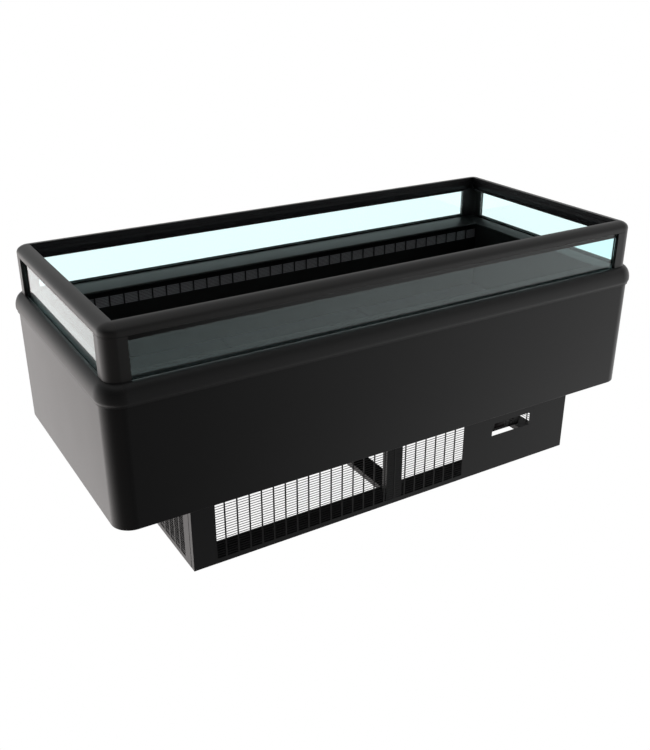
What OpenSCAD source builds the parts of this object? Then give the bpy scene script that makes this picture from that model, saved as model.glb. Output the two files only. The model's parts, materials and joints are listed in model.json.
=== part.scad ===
// Plug-in island chest freezer with an open glass top, 2 m long.
// Millimetres. X runs along the cabinet, -Y is the operator's front, Z is up.
// The origin is on the floor under the middle of the cabinet.

/* [Cabinet] */
// Length over the sheet-metal walls
body_len = 2000; // [1800:50:2500]
// Depth over the sheet-metal walls
body_dep = 920; // [900:10:1000]
// Height of the cabinet's underside above the floor
body_z = 242; // [236:1:260]
// Height where the walls end and the bumper starts
wall_top = 632; // [600:1:640]
// Overall height
total_h = 860; // [850:1:900]
// Radius of the upright corners of the cabinet
corner_r = 62; // [56:1:70]
// Thickness of folded sheet metal
sheet = 1.5; // [1:0.1:2]

/* [Glass rail] */
// Height of the top rail, outside lip to top
rail_h = 35; // [30:1:40]
// Depth of the rail's inner face below its top
rail_inner_h = 53; // [50:1:60]
// Width of the rounded outer part of the rail's top
rail_round_w = 38; // [30:1:39]
// Height over which the rail's top rounds down to its outer face
rail_round_h = 24; // [18:1:28]
// Thickness of the toughened glass
glass_t = 6; // [5:0.5:7]
// Height of the bumper band
bumper_h = 65; // [60:1:70]
// How far the bumper stands out from the walls
bumper_out = 9; // [5:1:12]
// Distance from the rail's outer corner to where the glass starts
post_reach = 70; // [60:1:80]

/* [Tank] */
// Height of the tank floor
tank_z = 300; // [295:1:310]
// Clear length between the tank's end walls
tank_len = 1836; // [1700:2:1850]
// Clear depth between the tank's long walls
tank_dep = 790; // [770:2:792]
// Clear depth between the two duct panels
well_dep = 668; // [640:2:680]
// Height of the deck on which goods stand
deck_z = 412; // [408:1:440]
// Height of the top edge of the duct panels
duct_top = 657; // [640:1:660]
// Number of lift-out deck pans
deck_pans = 3; // [3]

/* [Base] */
// Length of the base
base_len = 1532; // [1500:2:1600]
// Depth of the base
base_dep = 840; // [820:2:860]
// Gap between the base panels and the floor
floor_gap = 1; // [1:1:10]
// Pitch of the grille bars along a panel
slot_pitch = 42; // [40:1:45]
// Number of slot rows in a grille
slot_rows = 8; // [6:1:8]
// Radius of a levelling foot's stud
stud_r = 6; // [5:0.5:6]
// Length of the control opening in the front panel
cutout_len = 178; // [150:1:180]
// Height of the control opening
cutout_h = 49; // [45:1:50]

/* [Hidden] */
$fn = 48;

// Every upright corner is turned about one of the four core points.
core_x = body_len / 2 - corner_r;
core_y = body_dep / 2 - corner_r;

// Section of the top rail: u runs outwards from the core line.
rail_u = 43;
lip_z = total_h - rail_h;
rail_low = total_h - rail_inner_h;
glass_u = 27;
glass_out_u = glass_u + glass_t;
glass_low = 686;
glass_high = lip_z + 5;
bumper_top = wall_top + bumper_h;
glass_seat = bumper_top - 6;
post_x = core_x + rail_u - post_reach;
post_y = core_y + rail_u - post_reach;

// Tank and its contents.
tank_sheet = 1;
tank_top = 672;
coaming_in = 335;
coaming_end_in = 915;
pan_gap = 3;
pan_sheet = 2;
pan_dep = well_dep - 2 * pan_gap;
pan_run = tank_len - 12;
pan_len = (pan_run - pan_gap * (deck_pans - 1)) / deck_pans;
duct_sheet = 1.2;
drain_x = -300;
drain_y = 250;
spigot_z = 200;
fan_z = 355;
fan_x = 250;
plate_y = -60;

// Base.
half_base = base_len / 2;
half_dep = base_dep / 2;
panel_h = body_z - 2 - floor_gap;
foot_x = half_base - 69;
foot_y = half_dep - 54;
rail_z = 10;
rail_t = 3;
rail_dep = 72;
rail_up = 20;
upright_d = 26;
grille_end = 280;
strip_w = 76;
slot_w = 37;
tray_z = rail_z + rail_up;
shroud_y = 240;
cond_fan_x = 270;
cond_fan_z = 127;
cutout_x = 500;
cutout_z = 165.5;

black = [0.13, 0.13, 0.135];
dark = [0.2, 0.2, 0.21];
steel = [0.62, 0.62, 0.63];

// ---------------------------------------------------------------- helpers

// Copies its child to both sides of the X = 0 plane.
module both_x() {
    children();
    mirror([1, 0, 0]) children();
}

// Copies its child to both sides of the Y = 0 plane.
module both_y() {
    children();
    mirror([0, 1, 0]) children();
}

// Rounded plan outline, d outside the core rectangle.
module plan(d) {
    square([2 * core_x, 2 * (core_y + d)], center = true);
    square([2 * (core_x + d), 2 * core_y], center = true);
    for (sx = [-1, 1], sy = [-1, 1])
        translate([sx * core_x, sy * core_y]) circle(d, $fn = 64);
}

// A section, drawn as (distance out, height), run along X on the front side.
module run_front(len, line) {
    translate([-len / 2, -line, 0])
        rotate([90, 0, 90])
            linear_extrude(len) mirror([1, 0]) children();
}

// The same section run along Y on the left side.
module run_left(len, line) {
    translate([-line, len / 2, 0])
        rotate([90, 0, 0])
            linear_extrude(len) mirror([1, 0]) children();
}

// The section turned through the four corners.
module turn_corners() {
    both_x() both_y()
        translate([core_x, core_y, 0])
            rotate_extrude(angle = 90, $fn = 64) children();
}

// An upright plate with a grid of slots, in the XZ plane.
module slotted(len, tall, cols, pitch, rows, row_pitch, slot, low, left) {
    rotate([90, 0, 0]) linear_extrude(sheet) difference() {
        square([len, tall]);
        for (i = [0:cols - 1], j = [0:rows - 1])
            translate([left + i * pitch, low + j * row_pitch]) square(slot);
    }
}

// A fan wheel on a bored hub, turning about Y.
module fan_wheel(tip_r, hub_r, bore_r, wide, blades) {
    rotate([-90, 0, 0]) difference() {
        union() {
            cylinder(h = wide, r = hub_r);
            for (i = [0:blades - 1])
                rotate([0, 0, i * 360 / blades])
                    translate([hub_r - 1, 0, wide / 2])
                        rotate([35, 0, 0])
                            translate([0, -wide * 0.6, -0.8])
                                cube([tip_r - hub_r, wide * 1.2, 1.6]);
        }
        translate([0, 0, -1]) cylinder(h = wide + 2, r = bore_r);
    }
}

// A shaded-pole motor on a cross bar, its shaft pointing to -Y.
module fan_motor(body_r, body_l, bar_l, shaft_r, shaft_l) {
    bar_t = 3;
    translate([-bar_l / 2, 0, -6]) cube([bar_l, bar_t, 12]);
    translate([0, bar_t, 0]) rotate([-90, 0, 0]) cylinder(h = body_l, r = body_r);
    rotate([90, 0, 0]) cylinder(h = shaft_l, r = shaft_r);
}

// A block of thin upright fins with serpentine tubes running along X.
module finned_coil(len, dep, tall, fins, tube_r, cols, rows) {
    step = len / (fins - 1);
    for (i = [0:fins - 1])
        translate([i * step - 0.5, 0, 0]) cube([1, dep, tall]);
    for (c = [0:cols - 1], r = [0:rows - 1])
        translate([-12, dep * (c + 0.5) / cols, tall * (r + 0.5) / rows])
            rotate([0, 90, 0]) cylinder(h = len + 24, r = tube_r, $fn = 24);
}

// ------------------------------------------------------------ base frame

module base_rails() {
    color(black) both_y() difference() {
        translate([-half_base + sheet, -half_dep + sheet, rail_z]) union() {
            cube([base_len - 2 * sheet, rail_dep, rail_t]);
            translate([0, rail_dep - rail_t, 0])
                cube([base_len - 2 * sheet, rail_t, rail_up]);
        }
        for (sx = [-1, 1])
            translate([sx * foot_x, -foot_y, rail_z - 1]) cylinder(h = rail_t + 2, r = stud_r + 0.5);
    }
}

// A channel across the base, open at the bottom.
module cross_rail(wide) {
    rail_in = half_dep - sheet - rail_dep;
    wall = 2;
    translate([0, -rail_in, rail_z]) difference() {
        cube([wide, 2 * rail_in, rail_up]);
        translate([wall, -1, -1]) cube([wide - 2 * wall, 2 * rail_in + 2, rail_up - wall + 1]);
    }
}

module cross_rails() {
    color(dark) {
        both_x() translate([690, 0, 0]) cross_rail(73);
        translate([-24, 0, 0]) cross_rail(77);
    }
}

// A folded channel, open towards the middle of the base.
module upright(wide) {
    tall = body_z - rail_z - rail_t;
    difference() {
        cube([wide, upright_d, tall]);
        translate([sheet, sheet, -1]) cube([wide - 2 * sheet, upright_d, tall + 2]);
    }
}

module uprights() {
    foot_level = rail_z + rail_t;
    end_w = 45;
    color(black) both_y() {
        translate([-half_base + sheet, -half_dep + sheet, foot_level]) upright(end_w);
        translate([half_base - sheet - end_w, -half_dep + sheet, foot_level]) upright(end_w);
        translate([-49, -half_dep + sheet, foot_level]) upright(63);
    }
}

module front_grille() {
    left = -half_base + strip_w;
    cols = floor((grille_end - left) / slot_pitch);
    row = (panel_h - 12) / slot_rows;
    color(black) translate([left, -half_dep + sheet, floor_gap])
        slotted(grille_end - left, panel_h, cols, slot_pitch, slot_rows, row,
            [slot_w, row - 4], 8, 4);
}

// Plain end strip of the front, with its return round the base's side.
module front_strip(from, to, turned) {
    translate([from, -half_dep, floor_gap]) cube([to - from, sheet, panel_h]);
    translate([turned, -half_dep, floor_gap]) cube([sheet, 19, panel_h]);
}

module front_panel_left() {
    color(black) front_strip(-half_base, -half_base + strip_w, -half_base);
}

module front_panel_right() {
    color(black) difference() {
        front_strip(grille_end, half_base, half_base - sheet);
        translate([cutout_x - cutout_len / 2, -half_dep - 1, cutout_z - cutout_h / 2])
            cube([cutout_len, sheet + 2, cutout_h]);
    }
}

module rear_grille() {
    cols = 34;
    row = (panel_h - 12) / slot_rows;
    left = (base_len - cols * slot_pitch + slot_pitch - slot_w) / 2 - sheet;
    color(black) translate([-half_base + sheet, half_dep, floor_gap])
        slotted(base_len - 2 * sheet, panel_h, cols, slot_pitch, slot_rows, row,
            [slot_w, row - 4], 8, left);
}

module end_grille() {
    cols = 17;
    row = (panel_h - 12) / slot_rows;
    dep = base_dep - 19 - 3;
    translate([-half_base, half_dep, floor_gap]) rotate([0, 0, -90])
        translate([0, sheet, 0])
            slotted(dep, panel_h, cols, slot_pitch, slot_rows, row, [slot_w, row - 4], 8, 60);
}

module end_grille_left() {
    color(black) end_grille();
}

module end_grille_right() {
    color(black) mirror([1, 0, 0]) end_grille();
}

module foot() {
    color(dark) {
        cylinder(h = 8, r = 20);
        cylinder(h = 52, r = stud_r);
    }
}

module foot_lock_nuts() {
    across = 2 * stud_r * 1.75;
    color(steel) both_x() both_y()
        translate([foot_x, foot_y, rail_z + rail_t]) difference() {
            cylinder(h = 10, d = across, $fn = 6);
            translate([0, 0, -1]) cylinder(h = 12, r = stud_r + 0.05, $fn = 48);
        }
}

// --------------------------------------------------------------- cabinet

module underside_panel() {
    color(black) translate([0, 0, body_z]) linear_extrude(sheet) difference() {
        plan(corner_r - sheet);
        translate([drain_x, drain_y]) circle(14.5);
    }
}

module outer_long() {
    translate([-core_x, -body_dep / 2, body_z]) cube([2 * core_x, sheet, wall_top - body_z]);
}

module outer_end() {
    translate([-body_len / 2, -core_y, body_z]) cube([sheet, 2 * core_y, wall_top - body_z]);
}

module outer_corners() {
    color(black) turn_corners()
        translate([corner_r - sheet, body_z]) square([sheet, wall_top - body_z]);
}

module foam_insulation() {
    low = body_z + sheet;
    color([0.9, 0.85, 0.65]) difference() {
        translate([0, 0, low]) linear_extrude(wall_top - low) plan(corner_r - sheet);
        translate([-tank_len / 2 - tank_sheet, -tank_dep / 2 - tank_sheet, tank_z])
            cube([tank_len + 2 * tank_sheet, tank_dep + 2 * tank_sheet, wall_top]);
        translate([drain_x, drain_y, 0]) cylinder(h = tank_z + 10, r = 14);
    }
}

module tank_floor() {
    color(steel) translate([0, 0, tank_z]) linear_extrude(tank_sheet) difference() {
        square([tank_len + 2 * tank_sheet, tank_dep + 2 * tank_sheet], center = true);
        translate([drain_x, drain_y]) circle(11);
    }
}

module tank_walls() {
    low = tank_z + tank_sheet;
    color(dark) {
        both_y() translate([-tank_len / 2 - tank_sheet, tank_dep / 2, low])
            cube([tank_len + 2 * tank_sheet, tank_sheet, tank_top - low]);
        both_x() translate([tank_len / 2, -tank_dep / 2, low])
            cube([tank_sheet, tank_dep, tank_top - low]);
    }
}

// Duct panel: air slots at the top, windows under the deck, a ledge for the pans.
module duct_panel() {
    low = tank_z + tank_sheet;
    cols = 35;
    windows = 6;
    step = tank_len / windows;
    translate([-tank_len / 2, -well_dep / 2, low]) {
        rotate([90, 0, 0]) linear_extrude(duct_sheet) difference() {
            square([tank_len, duct_top - low]);
            for (i = [0:cols - 1], j = [0:1])
                translate([2.5 + i * 52.4, duct_top - low - 36 + j * 17]) square([47.4, 13]);
            for (i = [0:windows - 1])
                translate([(i + 0.5) * step - 90, 20]) square([180, 70]);
        }
        translate([0, 0, deck_z - pan_sheet - 2 - low]) cube([tank_len, 15, 2]);
    }
}

module deck_pan(i) {
    lip_in = 34;
    color(dark) translate([-pan_run / 2 + i * (pan_len + pan_gap), -pan_dep / 2, deck_z - pan_sheet]) {
        cube([pan_len, pan_dep, pan_sheet]);
        for (y = [lip_in, pan_dep - lip_in - pan_sheet])
            translate([0, y, -12]) cube([pan_len, pan_sheet, 12]);
    }
}

module evaporator_coil() {
    color(steel) translate([-420, 20, tank_z + tank_sheet])
        finned_coil(840, 180, 88, 29, 5, 4, 2);
}

module evaporator_fan_plate() {
    low = tank_z + tank_sheet;
    color(dark) translate([-tank_len / 2, plate_y, 0]) difference() {
        translate([0, 0, low]) cube([tank_len, sheet, deck_z - pan_sheet - low]);
        for (x = [-fan_x, fan_x])
            translate([tank_len / 2 + x, -1, fan_z]) rotate([-90, 0, 0]) cylinder(h = 4, r = 48);
    }
}

module evaporator_fan_motors() {
    color(steel) both_x() translate([fan_x, plate_y + sheet, fan_z])
        fan_motor(18, 36, 112, 3, 26);
}

module evaporator_fan(x) {
    color(dark) translate([x, plate_y - 17, fan_z]) fan_wheel(45, 13, 3.05, 13, 5);
}

module drain_pipe() {
    spigot = 38;
    color(dark) translate([drain_x, drain_y, 0]) difference() {
        union() {
            translate([0, 0, spigot_z]) cylinder(h = tank_z - spigot_z, r = 14);
            translate([0, 0, spigot_z + spigot]) cylinder(h = body_z - spigot_z - spigot, r = 20);
        }
        translate([0, 0, spigot_z - 1]) cylinder(h = tank_z, r = 11);
    }
}

// Sloping ledge between the glass and the well; its nose turns down.
module coaming_section() {
    nose = 3;
    out = core_y + glass_u;
    polygon(concat(
        [[-coaming_in - 3, tank_top], [-out, tank_top], [-out, 690]],
        [for (a = [100:20:240]) [-coaming_in - nose - nose * cos(a), tank_top + 4 + nose * sin(a) + 0.5]]));
}

module coaming() {
    color(dark) {
        both_y() translate([-coaming_end_in, 0, 0]) rotate([90, 0, 90])
            linear_extrude(2 * coaming_end_in) coaming_section();
        both_x() translate([0, 0, tank_top]) linear_extrude(690 - tank_top) union() {
            translate([coaming_end_in, -core_y]) square([core_x + glass_u - coaming_end_in, 2 * core_y]);
            translate([coaming_end_in, -core_y - glass_u])
                square([core_x - coaming_end_in, 2 * (core_y + glass_u)]);
            for (sy = [-1, 1]) translate([core_x, sy * core_y]) circle(glass_u);
        }
    }
}

// Bumper: an elliptical outer face over the wall's top, a seat for the glass.
module bumper_section() {
    rise = bumper_top - wall_top - 18;
    difference() {
        polygon(concat(
            [[0, wall_top], [corner_r + 1, wall_top]],
            [for (a = [-60:12:0])
                [corner_r + bumper_out - 10 + 10 * cos(a), wall_top + 18 + 18 * sin(a)]],
            [for (a = [10:10:90]) [40 + 31 * cos(a), wall_top + 18 + rise * sin(a)]],
            [[36, glass_seat], [glass_out_u, glass_seat], [glass_out_u, glass_low],
                [glass_u, glass_low], [glass_u, tank_top], [0, tank_top]]));
        translate([4, wall_top + 4]) square([corner_r - 9, tank_top - wall_top - 8]);
    }
}

module bumper_long() {
    run_front(2 * core_x, core_y) bumper_section();
}

module glass_long() {
    translate([-post_x, -core_y - glass_out_u, glass_low])
        cube([2 * post_x, glass_t, glass_high - glass_low]);
}

module glass_end() {
    translate([-core_x - glass_out_u, -post_y, glass_low])
        cube([glass_t, 2 * post_y, glass_high - glass_low]);
}

// Post section: (distance out, height).
module post_section() {
    polygon([[glass_u, glass_seat], [36, glass_seat], [36, bumper_top], [rail_u, bumper_top],
        [rail_u, lip_z], [glass_u, lip_z]]);
}

module corner_posts() {
    color(black) both_x() both_y() union() {
        translate([core_x, core_y, 0]) rotate_extrude(angle = 90, $fn = 64) post_section();
        translate([post_x, core_y, 0]) rotate([90, 0, 90])
            linear_extrude(core_x - post_x) post_section();
        translate([core_x, core_y, 0]) rotate([90, 0, 0])
            linear_extrude(core_y - post_y) post_section();
    }
}

// Outline of the top rail's outer face and top, from the lip to the inner edge.
function rail_top() = concat(
    [[rail_u, lip_z]],
    [for (a = [0:15:90])
        [rail_u - rail_round_w + rail_round_w * cos(a),
            total_h - rail_round_h + rail_round_h * sin(a)]],
    [[3, total_h], [0, total_h - 3]]);

// Top rail: two lid tracks and a recess inside, a groove for the glass below.
module rail_section() {
    difference() {
        polygon(concat(rail_top(), [[0, rail_low], [glass_u, rail_low], [glass_u, lip_z]]));
        translate([-1, total_h - 17]) square([4, 2.5]);
        translate([-1, total_h - 48]) square([8, 18]);
        translate([glass_u, lip_z - 1]) square([glass_t, 6]);
        translate([11, rail_low + 4]) square([13, 19]);
        translate([6, lip_z + 9]) square([30, 16]);
    }
}

// At the corners the rail is closed below, where the posts meet it.
module rail_corner_section() {
    difference() {
        polygon(concat(rail_top(), [[0, rail_low], [glass_u, rail_low], [glass_u, lip_z]]));
        translate([11, rail_low + 4]) square([13, 19]);
        translate([6, lip_z + 9]) square([30, 16]);
    }
}

module frame_long() {
    run_front(2 * core_x, core_y) rail_section();
}

// --------------------------------------------------------- cooling system

module unit_tray() {
    color(steel) translate([22, 0, tray_z]) {
        cube([708, half_dep - rail_dep - sheet, sheet]);
        cube([708, sheet, 10]);
    }
}

module compressor() {
    color(black) translate([600, 150, tray_z + sheet]) {
        for (sx = [-1, 1], sy = [-1, 1])
            translate([sx * 70, sy * 60, 0]) cylinder(h = 12, r = 14);
        translate([-90, -80, 12]) cube([180, 160, 3]);
        translate([0, 0, 15]) cylinder(h = 120, r = 78);
        translate([0, 0, 135]) intersection() {
            translate([0, 0, -62]) sphere(r = 100, $fn = 64);
            cylinder(h = 60, r = 78);
        }
        translate([76, -30, 40]) cube([32, 60, 60]);
    }
}

module condenser_coil() {
    color(steel) translate([82, 262, tray_z + sheet])
        finned_coil(376, 40, 190, 20, 5, 2, 4);
}

module condenser_fan_shroud() {
    color(black) translate([80, shroud_y, tray_z + sheet]) difference() {
        union() {
            cube([380, sheet, 190]);
            for (x = [0, 380 - sheet]) translate([x, 0, 0]) cube([sheet, 20, 190]);
            translate([0, 0, 190 - sheet]) cube([380, 20, sheet]);
        }
        translate([cond_fan_x - 80, -1, cond_fan_z - tray_z - sheet])
            rotate([-90, 0, 0]) cylinder(h = 4, r = 86);
    }
}

// The motor stands in front of the shroud and its shaft points back into the ring.
module condenser_fan_motor() {
    color(steel) translate([cond_fan_x, shroud_y, cond_fan_z]) mirror([0, 1, 0])
        fan_motor(32, 52, 196, 4, 20);
}

module condenser_fan() {
    color(dark) translate([cond_fan_x, shroud_y + 3, cond_fan_z]) fan_wheel(80, 22, 4.05, 14, 5);
}

module cord_gland() {
    color(black) translate([650, half_dep, 60]) rotate([-90, 0, 0]) difference() {
        union() {
            cylinder(h = 4, r = 14);
            cylinder(h = 16, r = 9);
        }
        translate([0, 0, -1]) cylinder(h = 18, r = 4.2);
    }
}

// --------------------------------------------------------------- controls

ctl_y = -half_dep + 25;
ctl_z = 150;
key_depth = 6;

// Plate hung from the underside, carrying the controller and the switch.
module control_bracket() {
    low = 141;
    color(dark) translate([424, ctl_y, 0]) difference() {
        union() {
            translate([0, 0, low]) cube([136, sheet, body_z - low]);
            translate([0, 0, body_z - sheet]) cube([136, 18, sheet]);
        }
        translate([10, -1, ctl_z]) cube([70, sheet + 2, 29]);
        translate([98, -1, ctl_z + 2]) cube([14, sheet + 2, 22]);
    }
}

module controller() {
    color(black) translate([434, ctl_y, ctl_z]) difference() {
        union() {
            translate([-3, -4, -3]) cube([76, 4, 35]);
            cube([70, 42, 29]);
        }
        for (z = [4, 17]) translate([58, -5, z]) cube([9, key_depth + 1, 9]);
    }
}

module key_cap(z) {
    color(dark) translate([434 + 58.2, ctl_y - 5.5, ctl_z + z + 0.2]) cube([8.6, 4.4, 8.6]);
}

module power_switch() {
    color(black) translate([529, ctl_y, ctl_z + 13]) {
        rotate([100, 0, 0]) translate([-5.8, -10.5, -4]) cube([11.6, 21, 8]);
        translate([-6.5, 0, 0]) rotate([0, 90, 0]) cylinder(h = 13, r = 2);
    }
}

// ---------------------------------------------------------------- drawing

base_rails();
cross_rails();
uprights();
front_grille();
front_panel_left();
front_panel_right();
rear_grille();
end_grille_left();
end_grille_right();
translate([-foot_x, -foot_y, 0]) foot();  // foot_front_left
translate([foot_x, -foot_y, 0]) foot();  // foot_front_right
translate([-foot_x, foot_y, 0]) foot();  // foot_rear_left
translate([foot_x, foot_y, 0]) foot();  // foot_rear_right
foot_lock_nuts();
underside_panel();
color(black) outer_long();  // outer_panel_front
color(black) mirror([0, 1, 0]) outer_long();  // outer_panel_rear
color(black) outer_end();  // outer_panel_left
color(black) mirror([1, 0, 0]) outer_end();  // outer_panel_right
outer_corners();
foam_insulation();
tank_floor();
tank_walls();
color(dark) duct_panel();  // duct_panel_front
color(dark) mirror([0, 1, 0]) duct_panel();  // duct_panel_rear
deck_pan(0);  // deck_pan_left
deck_pan(1);  // deck_pan_middle
deck_pan(2);  // deck_pan_right
evaporator_coil();
evaporator_fan_plate();
evaporator_fan_motors();
evaporator_fan(-fan_x);  // evaporator_fan_left
evaporator_fan(fan_x);  // evaporator_fan_right
drain_pipe();
coaming();
color(black) bumper_long();  // bumper_front
color(black) mirror([0, 1, 0]) bumper_long();  // bumper_rear
color(black) both_x() run_left(2 * core_y, core_x) bumper_section();  // bumper_ends
color(black) turn_corners() bumper_section();  // bumper_corners
color([0.8, 1, 1, 0.4]) glass_long();  // glass_front
color([0.8, 1, 1, 0.4]) mirror([0, 1, 0]) glass_long();  // glass_rear
color([0.8, 1, 1, 0.4]) glass_end();  // glass_left
color([0.8, 1, 1, 0.4]) mirror([1, 0, 0]) glass_end();  // glass_right
corner_posts();
color(black) frame_long();  // frame_front
color(black) mirror([0, 1, 0]) frame_long();  // frame_rear
color(black) both_x() run_left(2 * core_y, core_x) rail_section();  // frame_ends
color(black) turn_corners() rail_corner_section();  // frame_corners
unit_tray();
compressor();
condenser_coil();
condenser_fan_shroud();
condenser_fan_motor();
condenser_fan();
cord_gland();
control_bracket();
controller();
key_cap(17);  // key_up
key_cap(4);  // key_down
power_switch();
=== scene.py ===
"""Looks of an island chest freezer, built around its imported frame.

Lengths are metres in the frame's own axes: X along the cabinet, -Y to the front, Z up.
"""

import json
import math

import bmesh
import bpy
from bpy.props import FloatProperty, FloatVectorProperty, IntProperty, PointerProperty
from mathutils import Matrix, Vector


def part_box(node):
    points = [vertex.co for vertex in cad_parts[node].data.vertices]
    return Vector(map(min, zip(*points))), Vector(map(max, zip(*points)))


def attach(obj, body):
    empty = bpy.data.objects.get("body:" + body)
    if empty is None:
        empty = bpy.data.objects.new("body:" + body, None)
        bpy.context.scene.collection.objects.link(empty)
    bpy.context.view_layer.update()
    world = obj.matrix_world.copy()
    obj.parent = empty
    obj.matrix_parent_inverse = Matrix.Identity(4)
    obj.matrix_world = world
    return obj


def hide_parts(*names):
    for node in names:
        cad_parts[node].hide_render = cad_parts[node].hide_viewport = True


bl_info = {
    "name": "Island freezer finish",
    "version": (1, 0, 0),
    "blender": (4, 5, 0),
    "location": "View3D > Sidebar > Freezer",
    "description": "Walls, bumper, glass rail, grilles and machinery of an open island freezer",
    "category": "Object",
}

MM = 0.001

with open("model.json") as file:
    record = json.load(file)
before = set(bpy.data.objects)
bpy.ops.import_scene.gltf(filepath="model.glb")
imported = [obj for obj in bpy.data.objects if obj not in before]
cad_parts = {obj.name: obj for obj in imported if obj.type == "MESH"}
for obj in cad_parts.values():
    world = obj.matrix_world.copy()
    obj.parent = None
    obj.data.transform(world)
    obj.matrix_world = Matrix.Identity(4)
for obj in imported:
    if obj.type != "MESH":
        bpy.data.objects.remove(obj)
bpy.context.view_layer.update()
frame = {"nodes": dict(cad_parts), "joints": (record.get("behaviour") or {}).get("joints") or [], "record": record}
NODES = frame["nodes"]

# ------------------------------------------------------------ places from the frame

WALL_LOW, WALL_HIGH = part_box("outer_panel_front")
END_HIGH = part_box("outer_panel_left")[1]
RAIL_LOW, RAIL_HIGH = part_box("frame_front")
BUMP_LOW, BUMP_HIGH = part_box("bumper_front")
GLASS_LOW, GLASS_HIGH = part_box("glass_front")
GLASS_END_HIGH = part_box("glass_left")[1]
DECK_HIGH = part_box("deck_pan_middle")[1]
LEDGE_LOW, LEDGE_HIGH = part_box("coaming")

CORE_X = WALL_HIGH.x
CORE_Y = END_HIGH.y
WALL_R = -WALL_LOW.y - CORE_Y
RAIL_U = -RAIL_LOW.y - CORE_Y
BUMP_U = -BUMP_LOW.y - CORE_Y
GLASS_U = -GLASS_HIGH.y - CORE_Y
GLASS_OUT_U = -GLASS_LOW.y - CORE_Y
LIP_Z = GLASS_HIGH.z - 5 * MM
SEAT_Z = GLASS_LOW.z + 5 * MM
SHEET = WALL_HIGH.y - WALL_LOW.y
TRACK_U = 9.5 * MM
FIRST_ROW_Z = 19 * MM
GRILLE_ROWS = 24

# angles above which an edge shows as a crease
FLAT = math.radians(5)
CRISP = math.radians(25)
SOFT = math.radians(38)

# brightness of the studio's screens, and the warm tint of the low left one
FRONT_TO_BACK = (0.12, 1.0)
RIGHT_SCREEN = 1.2
LOW_LEFT = 0.8
OVERHEAD = 0.5
TOP_SCREEN = 0.55
THROUGH_GLASS_LIFT = 0.12
WARM = (1.0, 0.955, 0.94, 1.0)

# turns from Z to each axis
AXIS_TURN = {"X": Matrix.Rotation(math.pi / 2, 4, "Y"), "Y": Matrix.Rotation(-math.pi / 2, 4, "X"),
             "Z": Matrix.Identity(4)}

CORNERS = tuple((sx, sy, f"{'left' if sx < 0 else 'right'}_{'front' if sy < 0 else 'rear'}")
                for sx in (-1, 1) for sy in (-1, 1))


# ------------------------------------------------------------------- user settings

class FreezerSizes(bpy.types.PropertyGroup):
    """Sizes that the frame leaves to the finish."""

    slot_pitch_x: FloatProperty(
        name="Slot pitch", description="Pitch of the grille bars along a panel",
        default=42.5 * MM, min=0.02, max=0.06, unit="LENGTH")
    slot_pitch_z: FloatProperty(
        name="Row pitch", description="Pitch of the slot rows in the base grilles",
        default=9 * MM, min=0.006, max=0.02, unit="LENGTH")
    bar_x: FloatProperty(
        name="Upright bar", description="Width of an upright bar between two slots",
        default=5 * MM, min=0.002, max=0.01, unit="LENGTH")
    bar_z: FloatProperty(
        name="Level bar", description="Height of a level bar between two slots",
        default=1.8 * MM, min=0.001, max=0.005, unit="LENGTH")
    edge: FloatProperty(
        name="Edge radius", description="Radius on the folded edges of sheet metal",
        default=0.4 * MM, min=0.0002, max=0.002, unit="LENGTH")
    hem: FloatProperty(
        name="Lower hem radius", description="Radius along the walls' lower edge",
        default=3 * MM, min=0.002, max=0.012, unit="LENGTH")
    turn_steps: IntProperty(
        name="Corner steps", description="Steps in a quarter turn of a corner",
        default=24, min=8, max=48)


class FreezerColours(bpy.types.PropertyGroup):
    """Base colours of the finishes, scene linear."""

    wall: FloatVectorProperty(
        name="Walls", description="Powder coat on the cabinet walls",
        default=(0.0075, 0.0075, 0.0078), min=0, max=1, size=3, subtype="COLOR")
    base: FloatVectorProperty(
        name="Base", description="Powder coat on the base",
        default=(0.008, 0.008, 0.0085), min=0, max=1, size=3, subtype="COLOR")
    rail: FloatVectorProperty(
        name="Top rail", description="Anodised top rail and posts",
        default=(0.008, 0.0075, 0.007), min=0, max=1, size=3, subtype="COLOR")
    tank: FloatVectorProperty(
        name="Tank", description="Coated tank, ducts and ledge",
        default=(0.012, 0.014, 0.014), min=0, max=1, size=3, subtype="COLOR")
    glass: FloatVectorProperty(
        name="Glass", description="Tint of the toughened glass",
        default=(0.80, 1.0, 1.0), min=0, max=1, size=3, subtype="COLOR")
    copper: FloatVectorProperty(
        name="Copper", description="Refrigerant pipes",
        default=(0.75, 0.36, 0.2), min=0, max=1, size=3, subtype="COLOR")


class StudioSettings(bpy.types.PropertyGroup):
    """Camera and light."""

    camera_at: FloatVectorProperty(
        name="Camera", description="Where the camera stands",
        default=(-1.6161, -2.5982, 1.7430), size=3, subtype="TRANSLATION", unit="LENGTH")
    yaw: FloatProperty(
        name="Yaw", description="Turn of the view from +Y towards +X",
        default=0.545, subtype="ANGLE", unit="ROTATION")
    pitch: FloatProperty(
        name="Pitch", description="Tilt of the view below level",
        default=0.436, subtype="ANGLE", unit="ROTATION")
    lens: FloatProperty(
        name="Lens", description="Focal length on a 36 mm sensor, in millimetres",
        default=43.97, min=20, max=120)
    sky: FloatProperty(
        name="Sky", description="Brightness of the studio", default=1.0, min=0, max=5)


# ------------------------------------------------------------------- shader groups

def group_socket(group, name, way, kind, default=None):
    """A named socket on a node group."""
    socket = group.interface.new_socket(name=name, in_out=way, socket_type=kind)
    if default is not None:
        socket.default_value = default


def add_node(tree, kind, inputs=None, **settings):
    """A node with its settings, and values on its inputs."""
    node = tree.nodes.new(kind)
    for key, value in settings.items():
        setattr(node, key, value)
    for socket, value in (inputs or {}).items():
        node.inputs[socket].default_value = value
    return node


def link(tree, *pairs):
    """Links each output to its input."""
    for output, entry in pairs:
        tree.links.new(output, entry)


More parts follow.
